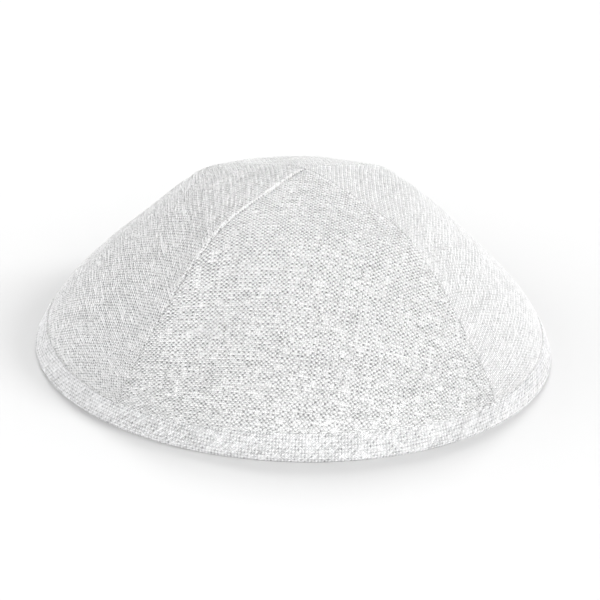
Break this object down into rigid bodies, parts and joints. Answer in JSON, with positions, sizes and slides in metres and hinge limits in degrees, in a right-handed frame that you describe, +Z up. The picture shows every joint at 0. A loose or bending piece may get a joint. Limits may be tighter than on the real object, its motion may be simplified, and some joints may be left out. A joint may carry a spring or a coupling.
{
  "type": "kippah skullcap",
  "caption": "Domed soft skullcap of sewn cloth gores that meet at the crown, with a bias-cut band folded round the rim; worn on the top of the head.",
  "frame": {"origin": "middle of the rim, on the surface that the cap rests on", "axes": "+Z up through the crown; -Y is the front, the way the front gore faces; +X is to the right as seen from the front"},
  "size_m": [0.175, 0.175, 0.0636],
  "materials": {
    "panel_cloth": "matt white linen-look cloth, plain weave with thick and thin threads",
    "band_cloth": "the same matt white cloth cut on the bias, edge-stitched in white thread"
  },
  "bodies": {
    "root": {"panel_front": "panel_cloth", "panel_right": "panel_cloth", "panel_back": "panel_cloth", "panel_left": "panel_cloth", "rim_band": "band_cloth"}
  },
  "joints": []
}
